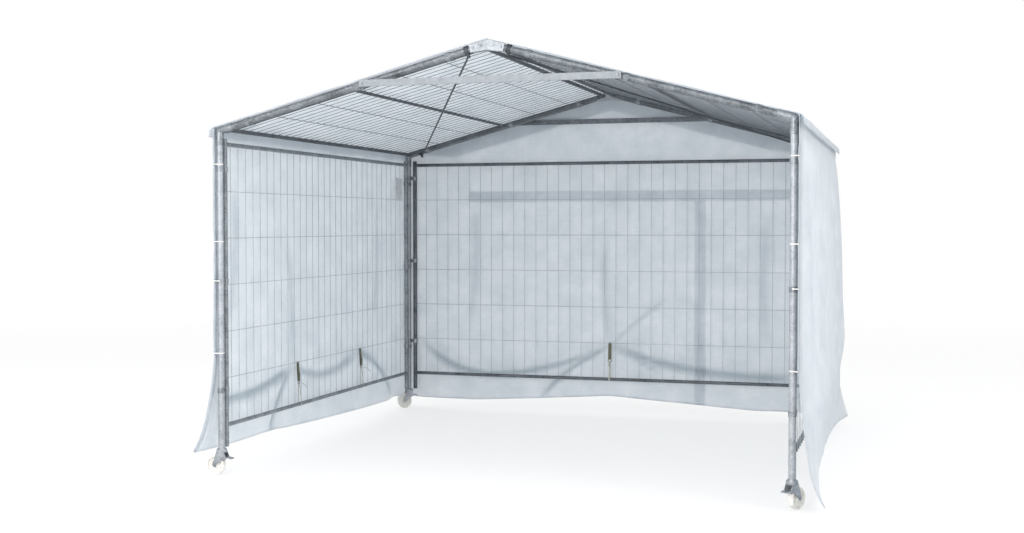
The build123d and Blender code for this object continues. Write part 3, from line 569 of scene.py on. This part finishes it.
# Slack sheet folds in long swags, most of them from a tie to the hem, a corner or the next tie. A
# swag is a curve of three points along and up its wall, with how far it stands out and its width.
STRAP_BACK = (strap_runs[0] - WRAP_LENGTH / 2, STRAP_LEVEL)
STRAPS_LEFT = sorted((r - HALF_DEPTH - FRONT_LAP, STRAP_LEVEL) for r in strap_runs[1:])
SWAGS = {
    "left": (
        ((-1.60, 0.46), (-0.95, 0.42), STRAPS_LEFT[0], 0.030, 0.045),
        (STRAPS_LEFT[0], (0.05, 0.36), STRAPS_LEFT[1], 0.022, 0.045),
        (STRAPS_LEFT[0], (-0.72, 0.42), (-0.86, 0.12), 0.026, 0.060),
        (STRAPS_LEFT[1], (1.05, 0.52), (1.50, 0.12), 0.024, 0.055),
        (STRAPS_LEFT[0], (-0.50, 1.00), (-0.62, 1.55), 0.014, 0.050),
        ((-1.45, 0.95), (-1.30, 1.35), (-1.38, 1.90), 0.010, 0.060),
        ((0.95, 0.80), (1.05, 1.20), (1.00, 1.80), 0.010, 0.060)),
    "back": (
        ((-1.72, 0.64), (-1.30, 0.02), STRAP_BACK, 0.034, 0.040),
        ((-0.62, 0.12), (-0.40, 0.40), STRAP_BACK, 0.026, 0.030),
        (STRAP_BACK, (0.60, 0.32), (1.66, 0.36), 0.034, 0.050),
        (STRAP_BACK, (0.20, 0.48), (0.42, 0.36), 0.018, 0.028),
        (STRAP_BACK, (0.20, 0.80), (0.46, 0.98), 0.014, 0.030),
        (STRAP_BACK, (-0.10, 1.00), (-0.04, 1.50), 0.012, 0.050),
        ((-1.25, 0.75), (-1.15, 1.20), (-1.22, 1.75), 0.010, 0.060),
        ((1.30, 0.60), (1.22, 1.10), (1.30, 1.70), 0.010, 0.060)),
    "right": (
        ((-1.60, 0.72), (-0.90, 0.34), (0.10, 0.50), 0.020, 0.100),
        ((0.10, 0.50), (0.90, 0.42), (1.60, 0.86), 0.018, 0.110),
        ((-1.52, 2.05), (-1.20, 1.10), (-1.46, 0.10), 0.022, 0.110),
        ((-0.70, 2.05), (-0.55, 1.20), (-0.80, 0.20), 0.012, 0.120),
        ((0.55, 2.05), (0.75, 1.20), (0.45, 0.15), 0.014, 0.130))}
SWAG_DEPTH = 1.35        # how much deeper the swags are sculpted than their stated heights
CURVE_STEPS = 121        # points along each swag's curve
FULL_PAINTED_FOLD_HEIGHT = 0.03         # the height from which a swag's fold gets its full painted shade
PAINTED_FOLD_DARKNESS = {"left": 0.8, "back": 0.8, "right": 0.12}    # how dark the painted shade is along each wall's folds
WALL_NEAR = 0.012        # sheet further out than this from the posts' centre planes is a wall's
TOP_FADE = 0.15          # swags die away over this height below the eaves


def swag_depth(swags, along, up):
    """How far swags lift the sheet at points along and up a wall, and how much painted shade each point gets
    along a swag.
    """
    depth, painted_fold_shade = np.zeros(len(along)), np.zeros(len(along))
    steps = np.linspace(0, 1, CURVE_STEPS)
    for first, middle, last, height, width in swags:
        curve = [(1 - steps) ** 2 * first[i] + 2 * steps * (1 - steps) * middle[i] + steps ** 2 * last[i]
                 for i in (0, 1)]
        off = np.stack([along[:, None] - curve[0], up[:, None] - curve[1]])
        away = np.hypot(*off)
        near = away.argmin(axis=1)
        pick = np.arange(len(along))
        heading = np.gradient(np.array(curve), axis=1)[:, near]
        above = heading[0] * off[1][pick, near] - heading[1] * off[0][pick, near] > 0
        # a swag falls away steeply on one side and gently on the other
        spread = np.where(above, 2.2 * width, 0.7 * width)
        fade = np.clip(7 * steps[near] * (1 - steps[near]), 0, 1)
        lift = np.exp(-(away[pick, near] / spread) ** 2)
        # the painted shade lies in a narrow band along the swag's line
        shade_mark = np.exp(-(away[pick, near] / (0.6 * width)) ** 2)
        depth = np.maximum(depth, SWAG_DEPTH * height * fade * lift)
        painted_fold_shade = np.maximum(painted_fold_shade, min(1.0, height / FULL_PAINTED_FOLD_HEIGHT) * fade * shade_mark)
    return depth, painted_fold_shade


points = np.empty(len(wrap.data.vertices) * 3)
wrap.data.vertices.foreach_get("co", points)
points = points.reshape(-1, 3)
painted_fold_shades = np.zeros(len(points), dtype=np.float32)
for wall, inside, along, out in (
        ("left", points[:, 0] < -HALF_WIDTH - WALL_NEAR, 1, (-1, 0)),
        ("right", points[:, 0] > HALF_WIDTH + WALL_NEAR, 1, (1, 0)),
        ("back", points[:, 1] > HALF_DEPTH + WALL_NEAR, 0, (0, 1))):
    spots = points[inside]
    depth, painted_fold_shade = swag_depth(SWAGS[wall], spots[:, along], spots[:, 2])
    painted_fold_shades[inside] = painted_fold_shade * PAINTED_FOLD_DARKNESS[wall]
    if wall == "right":
        from_front = np.clip((spots[:, 1] + HALF_DEPTH) / 1.2, 0, 1)
        from_back = np.clip((HALF_DEPTH - spots[:, 1]) / 0.2, 0, 1)
        belly = from_front * from_back
        depth = depth + BELLY * belly * np.sin(math.pi * np.clip(spots[:, 2] / EAVE, 0, 1)) ** 0.8
    depth *= np.clip((EAVE - spots[:, 2]) / TOP_FADE, 0, 1)
    points[inside, 0] += out[0] * depth
    points[inside, 1] += out[1] * depth
wrap.data.vertices.foreach_set("co", points.ravel())
# the painted fold shade goes with the sheet, for its film to darken by
wrap.data.attributes.new("painted_fold_shade", "FLOAT", "POINT").data.foreach_set("value", painted_fold_shades)
wrap.data.update()


SHEET_THICKNESS = 0.001
BAND_THICKNESS = 0.0008
first_face = wrap.data.polygons[0]
faces_in = first_face.normal.dot(first_face.center * Vector((1, 1, 0))) < 0
band_lift = -0.0018 if faces_in else 0.0018


def doubled_band(name, inside=None, cuts=()):
    """A second layer of film over part of the wrap.

    inside says which runs along the wrap it covers; each cut is a plane's place and the way to the waste.
    """
    band = wrap.copy()
    band.data = wrap.data.copy()
    band.name = name
    bpy.context.collection.objects.link(band)
    mesh = bmesh.new()
    mesh.from_mesh(band.data)
    if inside:
        flat = mesh.loops.layers.uv.active
        spare = [face for face in mesh.faces
                 if not inside(sum(loop[flat].uv.x for loop in face.loops) / len(face.loops) / SLACK)]
        bmesh.ops.delete(mesh, geom=spare, context="FACES")
    for spot, waste in cuts:
        bmesh.ops.bisect_plane(mesh, geom=[*mesh.verts, *mesh.edges, *mesh.faces], plane_co=spot,
                               plane_no=waste, clear_outer=True)
    for vert in mesh.verts:
        vert.co += band_lift * vert.normal
    mesh.to_mesh(band.data)
    mesh.free()
    finish_sheet(band, BAND_THICKNESS, seam_film)
    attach(band, "house")
    return band


# The front edges are folded over and welded. The back is two widths of film, lapped in an
# upright seam, under a gable piece that laps it in a level one.
SEAM_UPRIGHT = 0.70      # to the right of the middle
SEAM_LEVEL = 1.79        # above the ground
SEAM_LEFT_END = -1.25
LAP = 0.09
HEM_FOLD = 0.045
hem_band = doubled_band("cover_hem_band", inside=lambda run: run < HEM_FOLD or run > WRAP_LENGTH - HEM_FOLD)
behind = ((0, HALF_DEPTH, 0), (0, -1, 0))
level_lap = doubled_band("cover_level_lap", cuts=(
    behind, ((0, 0, SEAM_LEVEL), (0, 0, -1)), ((0, 0, SEAM_LEVEL + LAP), (0, 0, 1)),
    ((SEAM_LEFT_END, 0, 0), (-1, 0, 0)), ((HALF_WIDTH, 0, 0), (1, 0, 0))))
upright_lap = doubled_band("cover_upright_lap", cuts=(
    behind, ((SEAM_UPRIGHT, 0, 0), (-1, 0, 0)), ((SEAM_UPRIGHT + LAP, 0, 0), (1, 0, 0)),
    ((0, 0, SEAM_LEVEL), (0, 0, 1))))

finish_sheet(wrap, SHEET_THICKNESS, cover_film)
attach(wrap, "house")
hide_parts("cover_left", "cover_right", "cover_back")

# The roof sheet is one piece over the ridge, stretched on the roof panels. Its sides turn down over
# the eaves and its back edge turns down the gable.
ROOF_GAP = 0.0285
EAVE_DROP = 0.075
GABLE_FLAP = 0.16
ROLL = 0.035             # radius of the turn over the eaves
ROOF_FRONT_LAP = 0.042   # past the front posts' centre lines
TURN_DEPTH = 0.006       # how far the flap stands back of the roof's edge
ROOF_COLUMNS, ROOF_ROWS = 192, 150
rise = RIDGE + ROOF_GAP / math.cos(SLOPE)
slope_run = (HALF_WIDTH + SIDE_GAP + 0.002) / math.cos(SLOPE)
half_cut = slope_run + EAVE_DROP
roof_front = -HALF_DEPTH - ROOF_FRONT_LAP
roof_back = HALF_DEPTH + BACK_GAP + 0.004


def roof_point(across, y):
    """A point of the roof sheet: across is the distance from the ridge along the sheet."""
    side = -1 if across < 0 else 1
    d = abs(across)
    if d <= slope_run:
        x, z = d * math.cos(SLOPE), rise - d * math.sin(SLOPE)
    else:
        turn = math.pi / 2 - SLOPE
        a = min(turn, (d - slope_run) / ROLL)
        x = slope_run * math.cos(SLOPE) + ROLL * (math.sin(SLOPE + a) - math.sin(SLOPE))
        z = rise - slope_run * math.sin(SLOPE) - ROLL * (math.cos(SLOPE) - math.cos(SLOPE + a))
        z -= max(0.0, d - slope_run - turn * ROLL)
    sag = 0.006 * math.sin(math.pi * min(1, d / slope_run)) * math.sin(math.pi * (y / HALF_DEPTH + 1) / 2)
    crease = 0.0025 * math.sin(y * 7.3 + 1.7 * math.sin(d * 3.1)) * math.sin(
        d * 5.3 + 0.8 * math.sin(y * 4.1))
    # past the back edge the sheet turns straight down the gable, less and less towards the eaves
    flap = max(0.0, y - roof_back) * min(1.0, max(0.12, (slope_run - d) / 0.45))
    back = min(y, roof_back) + min(flap, TURN_DEPTH)
    return side * x, back, z - sag * 0.3 + crease - max(0.0, flap - TURN_DEPTH)


bpy.ops.object.select_all(action="DESELECT")
bpy.ops.mesh.primitive_grid_add(x_subdivisions=ROOF_COLUMNS, y_subdivisions=ROOF_ROWS, size=1)
roof = bpy.context.object
roof.name = "cover_roof_sheet"
roof_length = roof_back + GABLE_FLAP - roof_front
roof_cut = [(2 * half_cut * v.co.x, roof_length * (v.co.y + 0.5)) for v in roof.data.vertices]
for vert, (across, along) in zip(roof.data.vertices, roof_cut):
    vert.co = roof_point(across, roof_front + along)
for loop in roof.data.loops:
    roof.data.uv_layers.active.data[loop.index].uv = roof_cut[loop.vertex_index]
finish_sheet(roof, SHEET_THICKNESS, cover_film)
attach(roof, "house")
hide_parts("cover_roof_left", "cover_roof_right")

# ---- ties ---------------------------------------------------------------------------------
# Three ties pull the sheet in: olive webbing folded over the first cross wire and stitched round a
# moulded ring, and a pale polypropylene tape from the ring round the bottom rail.
WEBBING_WIDTH, WEBBING_THICKNESS = 0.025, 0.0018
TAPE_WIDTH, TAPE_THICKNESS = 0.010, 0.0012
RING_RADIUS, RING_WIRE = 0.0135, 0.0028
RING_LEVEL = 0.465
RAIL_RADIUS = 0.01345    # of the panels' bottom rails
WEAVE_MM = 2.5
SHEET_TIE_WIDTH, SHEET_TIE_THICKNESS = 0.0056, 0.0014
LOCK_SIZE = (0.009, 0.006, 0.008)    # the block that a nylon strap locks in
EYELET_RADIUS, EYELET_WIRE = 0.0085, 0.0022


def belt(first, first_radius, second, second_radius, steps=14):
    """Points of a loop drawn tight round two circles."""
    reach = Vector(second) - Vector(first)
    heading = math.atan2(reach.y, reach.x)
    lean = math.acos((first_radius - second_radius) / reach.length)
    points = []
    for centre, radius, low, high in ((first, first_radius, heading + lean, heading + 2 * math.pi - lean),
                                      (second, second_radius, heading - lean, heading + lean)):
        for step in range(steps + 1):
            angle = low + (high - low) * step / steps
            points.append((centre[0] + radius * math.cos(angle), centre[1] + radius * math.sin(angle)))
    return points


def ribbon(points, place, width, thickness, closed=True):
    """A flat band through points; place puts one side's distance and a point's two numbers on the house."""
    mesh = bpy.data.meshes.new("ribbon")
    band = bpy.data.objects.new("ribbon", mesh)
    bpy.context.collection.objects.link(band)
    verts = [place(side * width / 2, *point) for point in points for side in (-1, 1)]
    count = len(points)
    faces = [(2 * i, 2 * i + 1, (2 * i + 3) % (2 * count), (2 * i + 2) % (2 * count))
             for i in range(count if closed else count - 1)]
    mesh.from_pydata(verts, [], faces)
    bpy.ops.object.select_all(action="DESELECT")
    band.select_set(True)
    thicken(band, thickness)
    bpy.ops.object.mode_set(mode="EDIT")
    bpy.ops.mesh.select_all(action="SELECT")
    bpy.ops.mesh.normals_make_consistent(inside=False)
    bpy.ops.object.mode_set(mode="OBJECT")
    return band


def ring(centre, turn, radius, wire):
    """A moulded ring at a place, turned to lie across its strap."""
    bpy.ops.object.select_all(action="DESELECT")
    bpy.ops.mesh.primitive_torus_add(location=centre, rotation=turn, major_radius=radius, minor_radius=wire,
                                     major_segments=28, minor_segments=10)
    bpy.ops.object.transform_apply(location=True, rotation=True, scale=True)
    return bpy.context.object


def join_pieces(name, parts, material):
    """Makes one named piece of several, with its finish, riding on the house."""
    bpy.ops.object.select_all(action="DESELECT")
    for part in parts:
        part.select_set(True)
    bpy.context.view_layer.objects.active = parts[0]
    bpy.ops.object.join()
    piece = bpy.context.object
    piece.name = name
    piece.data.materials.clear()
    piece.data.materials.append(material)
    bpy.ops.object.shade_smooth_by_angle(angle=math.radians(35))
    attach(piece, "house")
    return piece


def woven(name, warp, weft, weave_mm):
    """Woven webbing: raised ribs across the strap in two close colours, matt and a little furry."""
    cloth, tree, shader = new_surface(name)
    place = add_node(tree, "ShaderNodeTexCoord").outputs["Object"]
    ribs = add_node(tree, "ShaderNodeTexWave", bands_direction="Z", Scale=1000 / weave_mm / 20,
                    Distortion=1.2, Detail=2.0, links=[("Vector", place)])
    colour = colour_ramp(tree, ribs.outputs["Fac"], (0.0, weft), (1.0, warp))
    tree.links.new(colour, shader.inputs["Base Color"])
    shader.inputs["Roughness"].default_value = 0.88
    shader.inputs["Sheen Weight"].default_value = 0.15
    raise_surface(tree, shader, ribs.outputs["Fac"], strength=0.5, distance=0.0008)
    return cloth


wire_out = -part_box("left_wall_mesh")[0].x - HALF_WIDTH - 0.002
webbing, tapes, rings = [], [], []
for number, (low, high) in enumerate(straps):
    middle = (low + high) / 2
    rail_level = low.z + RAIL_RADIUS + 0.0024
    wire_level = high.z - 0.0044
    on_left = middle.x < -HALF_WIDTH / 2

    def place(along, out, up):
        """A tie's own along, outward and up, as a place on the house."""
        if on_left:
            return (-HALF_WIDTH - out, middle.y - along, up)
        return (middle.x + along, HALF_DEPTH + out, up)

    hang = wire_out * (RING_LEVEL - rail_level) / (wire_level - rail_level)
    upper = belt((wire_out, wire_level), 0.0034, (hang, RING_LEVEL + RING_RADIUS), 0.0046)
    webbing.append(ribbon(upper, place, WEBBING_WIDTH, WEBBING_THICKNESS))
    stitched = [(hang + 0.2 * (wire_out - hang) - 0.0075 + 0.002 * (i % 2), RING_LEVEL + 0.03 + 0.012 * i)
                for i in range(4)]
    webbing.append(ribbon(stitched, place, WEBBING_WIDTH * 0.92, WEBBING_THICKNESS, closed=False))
    turn = (0, math.pi / 2, 0) if on_left else (math.pi / 2, 0, 0)
    rings.append(ring(place(0, hang, RING_LEVEL), turn, RING_RADIUS, RING_WIRE))
    lower = belt((0.0, rail_level), RAIL_RADIUS + 0.0012, (hang, RING_LEVEL - RING_RADIUS), 0.0038)
    tapes.append(ribbon(lower, place, TAPE_WIDTH, TAPE_THICKNESS))
    tail = [(hang - 0.006 - 0.045 * t * (1 + 0.4 * number), RING_LEVEL - 0.004 + 0.012 * t - 0.05 * t ** 2)
            for t in (0, 0.2, 0.4, 0.6, 0.8, 1.0)]
    tapes.append(ribbon(tail, place, TAPE_WIDTH, TAPE_THICKNESS, closed=False))

olive_webbing = woven("woven olive webbing", "#74725f", "#4d4c3f", WEAVE_MM)
pale_tape = woven("woven polypropylene tape", "#c4c4ba", "#9c9c92", WEAVE_MM)
webbing = join_pieces("tie_webbing", webbing, olive_webbing)
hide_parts("tie_straps")
tapes = join_pieces("tie_tapes", tapes, pale_tape)
dark_plastic = scuffed_plastic("moulded dark ring", "#3c3c37", "#5f5f57", 0.45, 8.0)
rings = join_pieces("tie_rings", rings, dark_plastic)
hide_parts("strap_toggles")

# Along the front edges the sheet is tied to the posts: a plated eyelet for each tie, and a white
# nylon strap through it and round the post.
nylon_ties, eyelets = [], []
for side in (-1, 1):
    for level in TIE_LEVELS:
        def place(half, across, along):
            """A strap's own half width, across and along, as a place on the house."""
            return (side * (HALF_WIDTH + across), -HALF_DEPTH + along, level + half)

        loop = belt((0.0, 0.0), 0.0222, (SIDE_GAP, -0.037), 0.003)
        nylon_ties.append(ribbon(loop, place, SHEET_TIE_WIDTH, SHEET_TIE_THICKNESS))
        bpy.ops.object.select_all(action="DESELECT")
        bpy.ops.mesh.primitive_cube_add(size=1, location=(side * HALF_WIDTH, -HALF_DEPTH - 0.0262, level))
        lock = bpy.context.object
        lock.scale = LOCK_SIZE
        bpy.ops.object.transform_apply(location=True, rotation=True, scale=True)
        bpy.ops.object.mode_set(mode="EDIT")
        bpy.ops.mesh.select_all(action="SELECT")
        bpy.ops.mesh.bevel(offset=0.0014, segments=2)
        bpy.ops.object.mode_set(mode="OBJECT")
        nylon_ties.append(lock)
        eyelets.append(ring(place(0.0, SIDE_GAP, -0.022), (0, math.pi / 2, 0), EYELET_RADIUS, EYELET_WIRE))
white_nylon = scuffed_plastic("white moulded nylon strap", "#eeeeea", "#cfcfca", 0.4, 12.0)
join_pieces("post_ties", nylon_ties, white_nylon)
plated_zinc = galvanised("plated eyelets", "#b9bcbf", "#85898c", 0.3, spangle_mm=3.0)
join_pieces("cover_eyelets", eyelets, plated_zinc)
